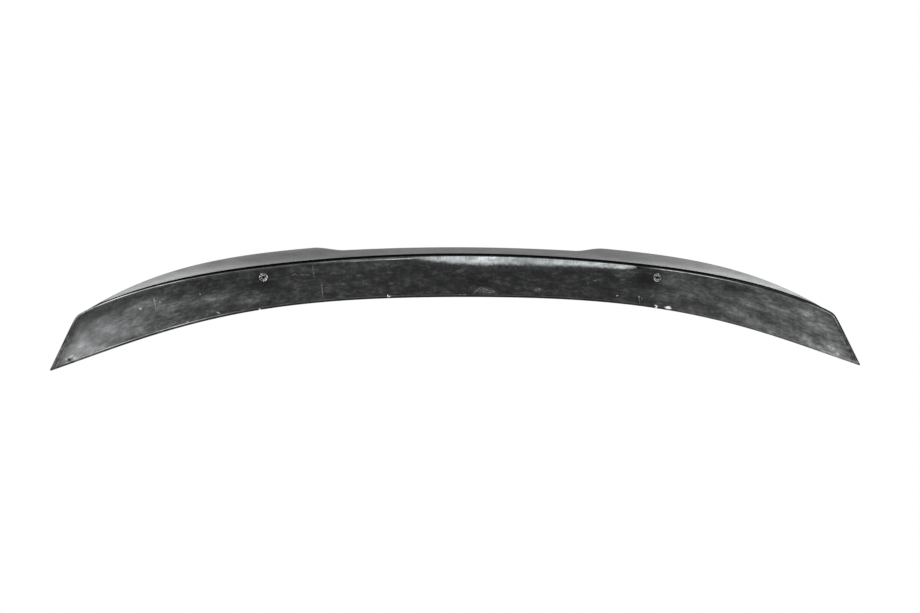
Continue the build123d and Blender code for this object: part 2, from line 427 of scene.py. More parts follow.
def section_runs(x, recess_open, slot_open):
    """The closed section at x as runs of (finish, points), each starting where the last ended."""
    heel = heel_radius(x)
    nose_arc, top, lip_arc, rear = upper_section(x)
    outer, inner = slot_edges(x)
    slot = slot_run(x, rear, outer, inner, slot_open)
    half_nose = NOSE_STEPS // 2
    return [
        ("raw", arc((heel, heel), heel, math.pi, 3 * math.pi / 2, HEEL_STEPS)),
        ("raw", recess_run(x, RECESS_DEPTH if recess_open else 0.0)),
        ("raw", nose_arc[:half_nose + 1]),
        ("paint", nose_arc[half_nose:]),
        ("paint", stretch(top, 0, 1, TOP_STEPS)),
        ("paint", lip_arc),
        ("rear", stretch(rear, 0, outer, REAR_STEPS)),
        ("rear", slot[:2]),
        ("groove", slot[1:]),
        ("groove", stretch(rear, inner, 1, WALL_STEPS)),
        ("groove", line(rear[-1], (0.0, heel), WALL_STEPS)),
    ]


def spread(start, end, spacing):
    """Even steps of about a spacing from start up to, but not at, end."""
    count = math.ceil((end - start) / spacing)
    return [start + (end - start) * i / count for i in range(count)]


def stations():
    """Sections from tip to tip as (x, recess open, groove open), doubled where a cut ends."""
    half = [(x, True, True) for x in spread(0, STEP_START_X, MID_SPACING)]
    half += [(x, True, True) for x in spread(STEP_START_X, SHOULDER_X, STEP_SPACING)]
    half += [(x, True, True) for x in spread(SHOULDER_X, SLOT_END_X, FADE_SPACING)]
    half += [(SLOT_END_X, True, True)]
    half += [(x, True, False) for x in spread(SLOT_END_X, RECESS_END_X, END_SPACING)]
    half += [(RECESS_END_X, True, False)]
    half += [(x, False, False) for x in spread(RECESS_END_X, HALF_SPAN, TIP_SPACING)]
    half += [(HALF_SPAN, False, False)]
    return [(-x, *rest) for x, *rest in reversed(half[1:])] + half


FINISHES = ("raw", "paint", "rear", "groove")


def ring_mesh(name, rings, finishes, end_finish):
    """Closed mesh through rings of points, with a finish for each face round a ring."""
    made = bmesh.new()
    rings = [[made.verts.new(Vector(point) * MM) for point in ring] for ring in rings]
    for ring, following in zip(rings, rings[1:]):
        for i, finish in enumerate(finishes):
            j = (i + 1) % len(finishes)
            face = made.faces.new((ring[i], ring[j], following[j], following[i]))
            face.material_index = finish
    for end in (rings[0], rings[-1]):
        made.faces.new(end).material_index = end_finish
    bmesh.ops.remove_doubles(made, verts=made.verts, dist=WELD * MM)
    bmesh.ops.dissolve_degenerate(made, edges=made.edges, dist=WELD * MM)
    bmesh.ops.recalc_face_normals(made, faces=made.faces)
    mesh = bpy.data.meshes.new(name)
    made.to_mesh(mesh)
    made.free()
    return mesh


def lofted_mesh():
    """The body's mesh through its sections, with a finish for each run."""
    rings = []
    for x, recess_open, slot_open in stations():
        runs = section_runs(x, recess_open, slot_open)
        points = [point for _, run in runs for point in run[:-1]]
        rear = rear_edge(x)
        level = MID_HEIGHT - crown_drop(x)
        rings.append([(x, rear + along, level + up) for along, up in points])
    # every section has the same runs, so the last one's finishes hold for all
    finishes = [FINISHES.index(finish) for finish, run in runs for _ in run[:-1]]
    return ring_mesh("spoiler_shell", rings, finishes, FINISHES.index("paint"))


def new_object(name, mesh):
    made = bpy.data.objects.new(name, mesh)
    bpy.context.scene.collection.objects.link(made)
    return made


def cut_away(body, cutter):
    """Takes a closed cutter's shape out of a body and removes the cutter."""
    cut = body.modifiers.new("cut", "BOOLEAN")
    cut.operation = "DIFFERENCE"
    cut.solver = "EXACT"
    cut.object = cutter
    graph = bpy.context.evaluated_depsgraph_get()
    mesh = bpy.data.meshes.new_from_object(body.evaluated_get(graph))
    body.modifiers.clear()
    body.data = mesh
    bpy.data.objects.remove(cutter)


def shade(mesh):
    mesh.shade_smooth()
    mesh.set_sharp_from_angle(angle=SMOOTH_BELOW)


def mark_plan(mesh):
    """Gives each point its place across the car and its distances from the rear and front edges."""
    plan = mesh.attributes.new("plan", "FLOAT_VECTOR", "POINT")
    for vertex, value in zip(mesh.vertices, plan.data):
        x, y, _ = vertex.co / MM
        rear = (y - rear_edge(x)) / math.hypot(1, slope(rear_edge, x))
        front = (front_edge(x) - y) / math.hypot(1, slope(front_edge, x))
        value.vector = (x, rear, front)


# Inserts

def six_sided(corner_radius):
    """Radius of a six-sided bar at an angle."""
    flat = corner_radius * math.cos(math.pi / 6)
    return lambda angle: flat / math.cos(angle % (math.pi / 3) - math.pi / 6)


def plain(radius):
    return lambda angle: radius


def barrel_rows():
    """Six-sided, waisted barrel of an insert, from its flange up."""
    low = SEAT_LEVEL + (BARREL_LENGTH - GROOVE_LENGTH) / 2
    high = low + GROOVE_LENGTH
    full = six_sided(BARREL_RADIUS)
    waist = six_sided(BARREL_RADIUS - GROOVE_DEPTH)
    return [
        (full, SEAT_LEVEL), (full, low), (waist, low), (waist, high), (full, high), (full, BARREL_TOP),
    ]


def thread_radius(height):
    """Radius of the tapped hole at a height, as a function of the angle round it."""
    fade = min(smooth_step(height / THREAD_PITCH), smooth_step((HOLE_TOP - height) / THREAD_PITCH))

    def radius(angle):
        turn = (height / THREAD_PITCH - angle / (2 * math.pi)) % 1
        return HOLE_RADIUS + THREAD_DEPTH * fade * (1 - abs(2 * turn - 1))

    return radius


def thread_rows():
    count = round(HOLE_TOP / THREAD_PITCH * THREAD_ROWS)
    heights = [HOLE_TOP * (1 - share) for share in shares(count)]
    return [(thread_radius(height), height) for height in heights]


def turned_mesh(name, rows, x):
    """Closed mesh round an upright axis at x, through rows of (radius at an angle, height)."""
    angles = [2 * math.pi * share for share in shares(TURN_SEGMENTS)[:-1]]
    rings = [
        [(x + radius(a) * math.cos(a), radius(a) * math.sin(a), height) for a in angles]
        for radius, height in rows
    ]
    return ring_mesh(name, rings, [0] * TURN_SEGMENTS, 0)


def insert_mesh(name, x):
    flange = [
        (plain(HOLE_RADIUS + MOUTH_CHAMFER), FLANGE_LEVEL),
        (plain(FLANGE_RADIUS - FLANGE_CHAMFER), FLANGE_LEVEL),
        (plain(FLANGE_RADIUS), FLANGE_LEVEL + FLANGE_CHAMFER),
        (plain(FLANGE_RADIUS), SEAT_LEVEL),
    ]
    return turned_mesh(name, thread_rows() + flange + barrel_rows(), x)


def pocket_mesh(x):
    """Room for an insert and, below its flange, an open seat."""
    seat = plain(FLANGE_RADIUS + SEAT_GAP)
    rows = [(seat, FLANGE_LEVEL - SEAT_DROP), (seat, SEAT_LEVEL)] + barrel_rows()
    return turned_mesh("pocket", rows, x)


# Finishes

class Finish:
    """A material under way, with short ways to make and join its nodes."""

    def __init__(self, name):
        self.material = bpy.data.materials.new(name)
        self.material.use_nodes = True
        self.tree = self.material.node_tree
        self.surface = self.tree.nodes["Principled BSDF"]

    def node(self, kind, inputs=None, **settings):
        made = self.tree.nodes.new("ShaderNode" + kind)
        for name, value in settings.items():
            setattr(made, name, value)
        for name, value in (inputs or {}).items():
            self.feed(made.inputs[name], value)
        return made

    def feed(self, socket, value):
        """Joins a socket to another node's output, or sets it to a plain value."""
        if isinstance(value, bpy.types.NodeSocket):
            self.tree.links.new(value, socket)
        else:
            socket.default_value = value

    def set(self, **inputs):
        for name, value in inputs.items():
            self.feed(self.surface.inputs[name.replace("_", " ")], value)

    def split(self, vector):
        return self.node("SeparateXYZ", {"Vector": vector}).outputs

    def place(self):
        """Place in the frame of the solids, in millimetres."""
        place = self.node("TexCoord").outputs["Object"]
        return self.scaled(place, 1 / MM)

    def plan(self):
        """Place across the car, and distances from the rear and the front edge."""
        return self.node("Attribute", attribute_name="plan").outputs["Vector"]

    def math(self, operation, first, second=0.0):
        return self.node("Math", {0: first, 1: second}, operation=operation).outputs[0]

    def times(self, first, *others):
        for other in others:
            first = self.math("MULTIPLY", first, other)
        return first

    def largest(self, first, *others):
        for other in others:
            first = self.math("MAXIMUM", first, other)
        return first

    def vector_math(self, operation, first, second):
        return self.node("VectorMath", {0: first, 1: second}, operation=operation).outputs[0]

    def dot(self, first, second):
        return self.node("VectorMath", {0: first, 1: second}, operation="DOT_PRODUCT").outputs["Value"]

    def scaled(self, vector, scale):
        return self.vector_math("MULTIPLY", vector, (scale, scale, scale))

    def between(self, value, low, high, to_low=0.0, to_high=1.0):
        """Runs softly from one value to another as the input goes from low to high."""
        inputs = {"Value": value, "From Min": low, "From Max": high}
        inputs.update({"To Min": to_low, "To Max": to_high})
        return self.node("MapRange", inputs, interpolation_type="SMOOTHSTEP").outputs[0]

    def ramp(self, value, low, high, stops):
        """Value that runs through stops of (input, value) as the input goes from low to high."""
        share = self.node("MapRange", {"Value": value, "From Min": low, "From Max": high})
        made = self.node("ValToRGB", {"Fac": share.outputs[0]})
        made.color_ramp.interpolation = "EASE"
        elements = made.color_ramp.elements
        while len(elements) < len(stops):
            elements.new(0.5)
        for element, (place, value_there) in zip(elements, stops):
            element.position = (place - low) / (high - low)
            element.color = (1.0, 1.0, 1.0, value_there)
        return made.outputs["Alpha"]

    def noise(self, vector, size, detail, roughness=0.5):
        """Cloudy noise with features of about the given size along each axis."""
        scaled = self.vector_math("MULTIPLY", vector, tuple(1 / s for s in size))
        inputs = {"Vector": scaled, "Scale": 1.0, "Detail": detail, "Roughness": roughness}
        return self.node("TexNoise", inputs).outputs["Fac"]

    def ragged(self, vector, amount, size):
        """A place pushed about by noise, so that what is drawn on it has ragged edges."""
        inputs = {"Vector": self.scaled(vector, 1 / size), "Scale": 1.0}
        colour = self.node("TexNoise", inputs).outputs["Color"]
        shift = self.vector_math("SUBTRACT", colour, (0.5, 0.5, 0.5))
        return self.vector_math("ADD", vector, self.scaled(shift, amount))

    def oval(self, vector, x, y, length, width, turn, soft):
        """One inside an oval on the mounting face, zero outside."""
        angle = math.radians(turn)
        long_way = Vector((math.cos(angle), math.sin(angle), 0)) * 2 / length
        wide_way = Vector((-math.sin(angle), math.cos(angle), 0)) * 2 / width
        local = self.vector_math("SUBTRACT", vector, (x, y, 0))
        shares_out = {"X": self.dot(local, long_way), "Y": self.dot(local, wide_way)}
        flat = self.node("CombineXYZ", shares_out).outputs[0]
        away = self.node("VectorMath", {0: flat}, operation="LENGTH").outputs["Value"]
        return self.between(away, 1 + soft, 1 - soft)

    def mix(self, factor, first, second):
        made = self.node("Mix", data_type="RGBA")
        for index, value in ((0, factor), (6, first), (7, second)):
            self.feed(made.inputs[index], value)
        return made.outputs[2]

    def bump(self, height, distance, strength):
        """Fine relief, a distance in millimetres deep."""
        inputs = {"Height": height, "Distance": distance * MM, "Strength": strength}
        self.set(Normal=self.node("Bump", inputs).outputs[0])


def grey(value):
    return (value, value, value, 1.0)


FAR = 1e6                    # size that makes an axis count for nothing

# Ranges of noise over which a value changes
WIDE = (0.25, 0.75)
MIDDLE = (0.3, 0.7)

# Colours at full tone
BLACK = grey(0.0)
RAW_TINT = (0.98, 1.0, 1.01, 1)
FILM_REFLECTION_TINT = (0.94, 1.0, 1.01, 1)
PAINT_TINT = (0.99, 1.0, 1.01, 1)
REAR_TINT = (0.99, 1.0, 1.0, 1)
CHIP_COLOUR = (0.8, 0.8, 0.78, 1)
ZINC_COLOUR = (0.68, 0.68, 0.67, 1)

# Marks on the mounting face: x, y, length, width, turn in degrees
CHIPS = (
    (-309.2, 48.6, 4.2, 1.8, 8), (-115.6, 27, 1.4, 4, 15),
    (-113.2, 28.4, 4.2, 1.5, -20), (300.2, 43.6, 4.4, 1.7, 10),
    (301, 46, 4.8, 1.7, -35), (319.1, 47.6, 10.6, 3.4, 11),
    (319.6, 46.2, 7, 2.4, 4),
)
FLECKS = (
    (-484.5, 48.2, 4.4, 3, 0), (-397.7, 26, 2.6, 2, 0),
    (-415.8, 68, 4, 1.6, 20), (-370.9, 54, 5, 2, 20),
    (241, 27.7, 2.8, 1.8, 0), (274.4, 29.8, 2.6, 2.4, 0),
    (115, 19, 3.6, 1.4, -40), (119.6, 17, 3, 1.4, 20),
    (565, 110, 6, 1.6, 20), (571, 113, 4, 1.8, 30),
    (577.8, 122.2, 5, 3, 45), (-4, 25.4, 4, 1.4, 0),
    (3, 25.8, 3.6, 1.2, 0), (-581.6, 119.4, 9, 4, -20),
    (-576, 121.7, 4.5, 5, 0), (-588.5, 122.5, 4, 3.6, 0),
)
SCRATCHES = (
    (-462.9, 42, 18.6, 1.3, 81), (-464, 37, 9, 2.4, 81),
    (-455.5, 38.5, 4, 2.2, 30), (-229, -10.2, 18.4, 0.9, 80),
    (-241.6, -4.2, 15.5, 0.9, 3), (-259, -4, 6, 0.9, -35),
    (-255, -4.4, 5, 0.9, 30), (-215.7, 18.4, 17.6, 1.2, 85),
    (22.8, 18.6, 14, 1, -40), (40, 18, 25, 1.1, 18),
    (44, 22.5, 18, 0.9, 6), (33, 19, 9, 0.8, 62),
    (195.5, 8.6, 6, 1.2, 86), (206.4, 4.3, 6, 0.9, 8),
    (275, 35.6, 11, 0.9, 85), (279, 32, 5, 0.9, 60),
)
SMUDGES = (
    (-158.8, -3.4, 9, 3.6, 0), (-184.2, 9.4, 8, 3.4, 5),
    (-148.7, 8.5, 8, 3, 0), (-113, -8.7, 8, 3, 0),
    (-110.6, 8.3, 8, 3.2, 0), (-2, -12, 16, 6, -20),
    (34, 19, 30, 9, 5), (117, 18, 14, 6, 0),
    (244, -3, 12, 5, 10), (250, 3, 9, 4, -10),
    (296, 29, 6, 4, 0), (567.1, 110.7, 15, 5, 22),
    (577.8, 122.2, 7, 5, 45), (-580, 118, 24, 18, 40),
    (-532.3, 79.8, 8, 6, 0), (-520.5, 83.4, 7, 5, 0),
)
PALE_CLOUDS = (
    (-584, 115, 66, 34, -48), (-526, 81, 50, 26, -20),
    (-475.8, 44, 52, 20, -25), (-444.7, 45, 40, 14, -15),
    (-381.9, 34.6, 70, 10, -14), (-318.2, 33, 50, 12, -8),
    (328.8, 6.5, 34, 18, 10), (353.6, 20.5, 40, 14, 12),
    (484, 50, 46, 13, 22), (526, 53, 36, 14, 28),
    (549, 78, 36, 14, 35), (452, 72, 100, 16, 28),
    (530, 100, 60, 11, 33), (578, 121, 44, 18, 42),
    (-500, 82, 44, 20, -25), (-243, -12, 50, 7, -6),
    (-170, -15, 64, 12, -6), (-110, -24, 110, 11, -4),
    (256, -9, 50, 14, 6), (452, 44, 30, 10, 20),
    (-582, 116, 16, 12, -20), (322, -10, 44, 8, 6),
    (-553, 111, 46, 14, -20), (-533, 63, 32, 12, -25),
)
DARK_CLOUDS = (
    (-384.3, 12.3, 46, 18, -12), (-306, 8, 36, 40, 0),
    (288, 2, 34, 34, 0), (428, 18, 46, 12, 14),
    (376, 44, 40, 12, 12), (-498, 97, 34, 13, -20),
    (18, 6, 40, 14, 0),
)
DARK_SPOTS = (
    (-583.4, 124.2, 5, 5, 0), (-578.8, 127.4, 5.4, 3.6, 0),
)

# Film along the rear edge, right of the middle, with a painted reflection giving it its pale, bluish
# tone
FILM_END_X = 268.0
FILM_SCALE = 20.0            # width that its ramp of widths counts as one
FILM_WIDTHS = (
    (-90, 0.05), (-58, 0.3), (-35, 0.43), (-12, 0.54), (35, 0.63), (58, 0.56), (127, 0.53),
    (174, 0.44), (243, 0.36), (270, 0.26),
)
FILM_REFLECTION_TONES = (
    (-80, 0.2), (-35, 0.52), (-12, 0.6), (12, 0.54), (35, 0.74), (58, 0.58), (104, 0.4),
    (128, 0.42), (150, 0.58), (200, 0.5), (240, 0.62), (268, 0.5),
)
FILM_START = (0.9, 1.9)      # distances inside the rear edge between which it starts
FILM_EDGE = (1.36, 0.62)     # shares of its width between which its lower edge fades in
FILM_FRAY = 0.12             # raggedness of that edge along the streaks, in such shares
FILM_TEAR = 0.1              # raggedness of that edge all over
FILM_END = (FILM_END_X + 2, FILM_END_X - 3)
FILM_END_TEAR = 7.0          # raggedness of its right end
FILM_SHINE = 0.2             # roughness that it takes away
RUN_DOWN_EDGE = (2.3, 1.0)   # as FILM_EDGE, for the faint streaks past it
RUN_DOWN_FULL_X = 240.0      # left of this, those streaks have their full tone
RUN_DOWN_TONE = 0.06

# Raw face
PALE_BASE = 0.78             # share of the tone left between the pale clouds
PALE_GAIN = 0.85             # what those clouds add to it
CLOUD_LOSS = 0.6             # share of the tone that the dark clouds take
SPOT_TONE = 0.02             # tone of the dark spots
SCUFF_TONE = 0.035
SPECK_TONES = (0.02, 0.14)
SMUDGE_TONES = (0.005, 0.1)
SCRATCH_TONES = (0.01, 0.3)
FLECK_TONES = (0.03, 0.45)
RAW_ROUGHNESS = (0.5, 0.68)
CHIP_RELIEF = 1.5            # rise of the chips, against the grain's
SCRATCH_RELIEF = 4.0         # depth of the scratches, the same way
CALM = 0.5                   # share of the mottling left at the left end
CALM_END_X = -560.0
CALM_START_X = -440.0

# Edges of the raw face
HIGHLIGHT_HALF_WIDTH = 0.5        # of the painted highlight lines
HEEL_HIGHLIGHT_GAP = 0.9          # from the painted shade line inside the rear edge to the painted highlight line
HEEL_SOFT = 0.35             # softness of that painted shade line
HEEL_TONE = 0.1              # share of the tone left in it
REAR_SHADE_FADE = (3, 45)    # distances inside the rear edge over which REAR_SHADES fade
FACE_TONE = 1.15             # share of the tone further in
LAND_FADE = (2.2, 3.1)       # distances inside the front edge over which FRONT_SHADES fade
END_SHADE_X = (CORNER_X - 30, CORNER_X + 5)      # where the painted shade of the rolled ends sets in
END_SHADE_FADE = (2, 15)     # distances inside the edge over which it fades
END_SHADE_LOSS = 0.46        # share of the tone that it takes

# Values from end to end, as (x, value): tone of the raw face
RAW_TONES = (
    (-610, 0.195), (-507, 0.096), (-414, 0.051), (-276, 0.027), (-46, 0.0175), (200, 0.019),
    (270, 0.02), (330, 0.047), (414, 0.057), (507, 0.066), (560, 0.1), (610, 0.18),
)
# Strength of the painted highlight lines at the heel and along the rim of the recess
HEEL_HIGHLIGHTS = (
    (-582, 0.0), (-572, 0.8), (-450, 0.55), (-410, 0.16), (-330, 0.1), (-230, 0.12), (-190, 0.25),
    (-120, 0.1), (-60, 0.0), (275, 0.03), (320, 0.6), (390, 0.45), (440, 0.2), (480, 0.04),
    (600, 0.0),
)
RIM_HIGHLIGHTS_REAR = (
    (-205, 0.05), (-140, 0.4), (-75, 0.75), (-50, 0.0), (525, 0.0), (550, 0.3), (576, 0.3),
    (586, 0.0),
)
RIM_HIGHLIGHTS_FRONT = (
    (-610, 0.0), (-592, 0.04), (-584, 0.5), (-470, 0.36), (-430, 0.55), (-380, 0.3), (-330, 0.08),
    (350, 0.05), (480, 0.1), (610, 0.14),
)
# Width of the painted shade line inside the rear edge
HEEL_SHADES = (
    (-610, 0.08), (-520, 0.04), (-360, 0.03), (-290, 0.08), (300, 0.08), (345, 0.1), (400, 0.18),
    (450, 0.28), (510, 0.37), (560, 0.3), (610, 0.12),
)
HEEL_SCALE = 10.0            # width that its ramp counts as one
# Share of the raw face's tone left under painted shade at its rear edge and on its front land
REAR_SHADES = (
    (-610, 0.6), (-560, 0.42), (-520, 0.46), (-450, 0.55), (-300, 0.7), (-200, 0.95), (-60, 0.9),
    (0, 0.66), (280, 0.66), (400, 0.9), (450, 1.15), (520, 1.15), (610, 0.8),
)
FRONT_SHADES = ((-610, 0.3), (0, 0.4), (250, 0.6), (400, 1.0))
# Tone of the rear face of the lip, paler towards the ends as painted reflection, and how far the
# painted shade along the groove reaches up it
REAR_TONES_AND_PAINTED_LIGHT = (
    (-580, 0.02), (-566, 0.24), (-515, 0.245), (-460, 0.245), (-415, 0.215), (-360, 0.14),
    (-300, 0.088), (-230, 0.078), (0, 0.09), (230, 0.1), (330, 0.165), (414, 0.26), (500, 0.38),
    (545, 0.34), (560, 0.1), (575, 0.02),
)
# painted shade along the groove: how far it reaches behind the rear edge, from end to end
SLOT_SHADE_EDGES = (
    (-610, 0.25), (-545, 0.23), (-505, 0.0), (280, 0.0), (340, 0.33), (440, 0.26), (500, 0.2),
    (550, 0.17),
)
SLOT_SHADE_SCALE = 10.0           # distance behind the rear edge that its ramp counts as one
SLOT_SHADE_SOFT = 0.6             # softness of its edge
SLOT_SHADE_COVER = 0.95           # share of the tone that it takes
SLOT_SHADE_DULLING = 0.45         # gloss that it takes

# Paint
PAINT_TONES = (0.07, 0.09)
PAINT_ROUGHNESS = (0.22, 0.36)
DUST_TONE = 0.05
HAIRLINE_TONE = 0.03
HAIRLINE_ROUGHNESS = 0.1
REAR_ROUGHNESS = (0.26, 0.36)
REAR_LIGHT_FADE = (-22, -4)        # distances behind the rear edge over which painted light makes the rear face paler towards the groove
REAR_GLOSS = 0.5

# Shadow groove's black, darker than the raw plastic as painted shade
SLOT_TONES = (0.004, 0.012)
SLOT_ROUGHNESS = (0.7, 0.9)

# Zinc plate, with distances from an insert's axis
RING = (5.7, 0.5)            # rubbed ring on the flange: its radius and half its width
MOUTH = (3.0, 0.4)           # the same for the painted glints round the edge of the hole
GLINT_START = (2.6, 3.1)     # distances over which the painted glints begin
HOLE_EDGE = (2.3, 3.0)       # distances over which the painted shade in the hole ends
HOLE_SHADE_TONE = 0.003
DIRT_TONE = 0.02
ZINC_METALLIC = (0.3, 1.0)   # where dirty and where bright
ZINC_ROUGHNESS = (0.6, 0.3)


def marks(finish, place, listed, soft):
    """All of a list of marks as one mask, joined one by one to keep the shader small."""
    mask = finish.oval(place, *listed[0], soft)
    for mark in listed[1:]:
        mask = finish.math("MAXIMUM", mask, finish.oval(place, *mark, soft))
    return mask


def edge_line(finish, distance, centre, half_width):
    """Thin line that runs along an edge, a distance inside it."""
    soft = 0.3
    away = finish.math("ABSOLUTE", finish.math("SUBTRACT", distance, centre))
    return finish.between(away, half_width + soft, half_width - soft)


def along(finish, x, stops):
    return finish.ramp(x, -HALF_SPAN, HALF_SPAN, stops)


def film(finish, place, x, rear):
    """Mask of the streaky film along the rear edge, the painted reflection that gives it its pale
    tone, and the faint streaks past it.
    """
    torn = finish.noise(place, (5, 5, FAR), 4.0, 0.6)
    streaks = finish.noise(place, (2.4, 90, FAR), 3.0, 0.6)
    patches = finish.noise(place, (22, 6, FAR), 4.0, 0.6)
    width = finish.times(along(finish, x, FILM_WIDTHS), FILM_SCALE)
    depth = finish.math("DIVIDE", rear, width)
    frayed = finish.math("ADD", depth, finish.between(streaks, *WIDE, -FILM_FRAY, FILM_FRAY))
    frayed = finish.math("ADD", frayed, finish.between(torn, *WIDE, -FILM_TEAR, FILM_TEAR))
    torn_x = finish.math("ADD", x, finish.between(torn, *WIDE, -FILM_END_TEAR, FILM_END_TEAR))
    mask = finish.times(
        finish.between(frayed, *FILM_EDGE),
        finish.between(rear, *FILM_START),
        finish.between(torn_x, *FILM_END),
    )
    tone = finish.times(
        along(finish, x, FILM_REFLECTION_TONES),
        finish.between(streaks, 0.3, 0.75, 0.76, 1.14),
        finish.between(patches, *MIDDLE, 0.66, 1.3),
    )
    run_down = finish.times(
        finish.between(frayed, *RUN_DOWN_EDGE),
        finish.between(streaks, 0.35, 0.7),
        finish.between(x, FILM_END_X, RUN_DOWN_FULL_X, 0, RUN_DOWN_TONE),
    )
    return mask, tone, run_down


def mottling(finish, place, x, front):
    """Uneven dulling of the raw face: clouds, small patches, and faint lines both ways."""
    swept = finish.node("CombineXYZ", {"X": x, "Y": front}).outputs[0]
    clouds = finish.noise(swept, (30, 15, FAR), 6.0, 0.7)
    patches = finish.noise(swept, (10, 4.5, FAR), 5.0, 0.68)
    streaks = finish.noise(swept, (50, 1.9, FAR), 4.0, 0.65)
    uprights = finish.noise(place, (1.6, 40, FAR), 3.0, 0.6)
    lines = finish.times(
        finish.between(streaks, *MIDDLE, 0.87, 1.14),
        finish.between(uprights, *MIDDLE, 0.92, 1.09),
    )
    mottle = finish.times(
        finish.between(clouds, *MIDDLE, 0.55, 1.5),
        finish.between(patches, 0.32, 0.68, 0.7, 1.34),
        lines,
    )
    # the left end is more even
    calm = finish.between(x, CALM_END_X, CALM_START_X, CALM, 1.0)
    mottle = finish.math("ADD", 1.0, finish.times(finish.math("SUBTRACT", mottle, 1.0), calm))
    scuffs = finish.times(
        finish.between(patches, 0.42, 0.7), finish.between(clouds, 0.38, 0.66), lines, SCUFF_TONE
    )
    return mottle, scuffs, patches


def heel_shade(finish, x):
    """Width of the painted shade line inside the rear edge."""
    return finish.times(along(finish, x, HEEL_SHADES), HEEL_SCALE)


def edge_highlights(finish, x, rear, front):
    """Painted highlights: pale lines along the heel and the rim of the recess, broken up along their
    length.
    """
    highlight_breaks = finish.noise(finish.plan(), (45, FAR, FAR), 5.0, 0.65)
    broken = finish.between(highlight_breaks, 0.33, 0.62, 0.25, 1.3)
    heel_centre = finish.math("ADD", heel_shade(finish, x), HEEL_HIGHLIGHT_GAP)

    # painted highlight: a pale line a distance inside an edge, as strong as its table gives
    def marked(distance, centre, strengths):
        pale = edge_line(finish, distance, centre, HIGHLIGHT_HALF_WIDTH)
        return finish.times(pale, along(finish, x, strengths))

    heel = marked(rear, heel_centre, HEEL_HIGHLIGHTS)
    rim_rear = marked(rear, RIM_WIDTH, RIM_HIGHLIGHTS_REAR)
    rim_front = marked(front, RIM_WIDTH, RIM_HIGHLIGHTS_FRONT)
    return finish.times(finish.largest(heel, rim_rear, rim_front), broken)


def edge_shade(finish, x, rear, front):
    """How much of the tone is left under painted shade at the heel, the front land and the rolled
    ends.
    """
    side = finish.math("ABSOLUTE", x)
    near_end = finish.between(side, *END_SHADE_X)
    speckle = finish.noise(finish.plan(), (2.4, 2.4, FAR), 2.0)
    end_loss = finish.times(
        near_end,
        finish.between(rear, *END_SHADE_FADE, END_SHADE_LOSS, 0.0),
        finish.between(speckle, 0.38, 0.6, 0.1, 1.8),
    )
    from_heel = finish.math("SUBTRACT", rear, heel_shade(finish, x))
    return finish.times(
        finish.between(from_heel, -HEEL_SOFT, HEEL_SOFT, HEEL_TONE, 1.0),
        finish.between(rear, *REAR_SHADE_FADE, along(finish, x, REAR_SHADES), FACE_TONE),
        finish.between(front, *LAND_FADE, along(finish, x, FRONT_SHADES), 1.0),
        finish.math("SUBTRACT", 1.0, end_loss),
    )


def raw_finish():
    """Scuffed black moulding: darkest in the middle, lighter and mottled towards the ends."""
    finish = Finish("raw_moulding")
    place = finish.place()
    x, rear, front = finish.split(finish.plan())
    mottle, scuffs, patches = mottling(finish, place, x, front)
    loose_place = finish.ragged(place, amount=9.0, size=9.0)
    paled = marks(finish, loose_place, PALE_CLOUDS, soft=0.8)
    pale_share = finish.math("ADD", PALE_BASE, finish.times(paled, PALE_GAIN))
    dark = marks(finish, loose_place, DARK_CLOUDS, soft=0.8)
    tone = finish.times(
        along(finish, x, RAW_TONES), mottle, pale_share,
        finish.math("SUBTRACT", 1.0, finish.times(dark, CLOUD_LOSS)),
        edge_shade(finish, x, rear, front),
    )
    specks = finish.times(
        finish.between(finish.noise(place, (1.7, 1.7, FAR), 2.0), 0.62, 0.74),
        finish.between(patches, 0.4, 0.7, *SPECK_TONES),
    )
    rough_place = finish.ragged(place, amount=3.0, size=2.5)
    broken = finish.noise(place, (1.8, 1.8, FAR), 3.0, 0.6)
    smudged = finish.times(
        marks(finish, rough_place, SMUDGES, soft=0.7),
        finish.between(broken, 0.34, 0.72, *SMUDGE_TONES),
    )
    scratched = finish.times(
        marks(finish, finish.ragged(place, amount=1.2, size=3.0), SCRATCHES, soft=0.5),
        finish.between(broken, 0.38, 0.68, *SCRATCH_TONES),
    )
    flecked = finish.times(
        marks(finish, rough_place, FLECKS, soft=0.6),
        finish.between(broken, 0.36, 0.64, *FLECK_TONES),
    )
    # painted highlights along the heel and the recess's rim
    highlighted = edge_highlights(finish, x, rear, front)
    covered, film_reflection, run_down = film(finish, place, x, rear)
    tone = finish.math(
        "ADD", tone, finish.largest(highlighted, specks, scuffs, smudged, scratched, flecked, run_down)
    )
    chips = marks(finish, finish.ragged(place, amount=2.0, size=1.7), CHIPS, soft=0.3)
    colour = finish.mix(tone, BLACK, RAW_TINT)
    colour = finish.mix(marks(finish, rough_place, DARK_SPOTS, soft=0.7), colour, grey(SPOT_TONE))
    # the film, coloured with the painted reflection that shows on it
    colour = finish.mix(covered, colour, finish.mix(film_reflection, BLACK, FILM_REFLECTION_TINT))
    colour = finish.mix(chips, colour, CHIP_COLOUR)
    smoothed = finish.times(covered, FILM_SHINE)
    finish.set(
        Base_Color=colour,
        Roughness=finish.math("SUBTRACT", finish.between(patches, *WIDE, *RAW_ROUGHNESS), smoothed),
        Specular_IOR_Level=0.1,
    )
    grain = finish.noise(place, (0.7, 0.7, 0.7), 2.0)
    raised = finish.math(
        "SUBTRACT", finish.times(chips, CHIP_RELIEF), finish.times(scratched, SCRATCH_RELIEF)
    )
    finish.bump(finish.math("ADD", grain, raised), distance=0.12, strength=0.5)
    return finish.material


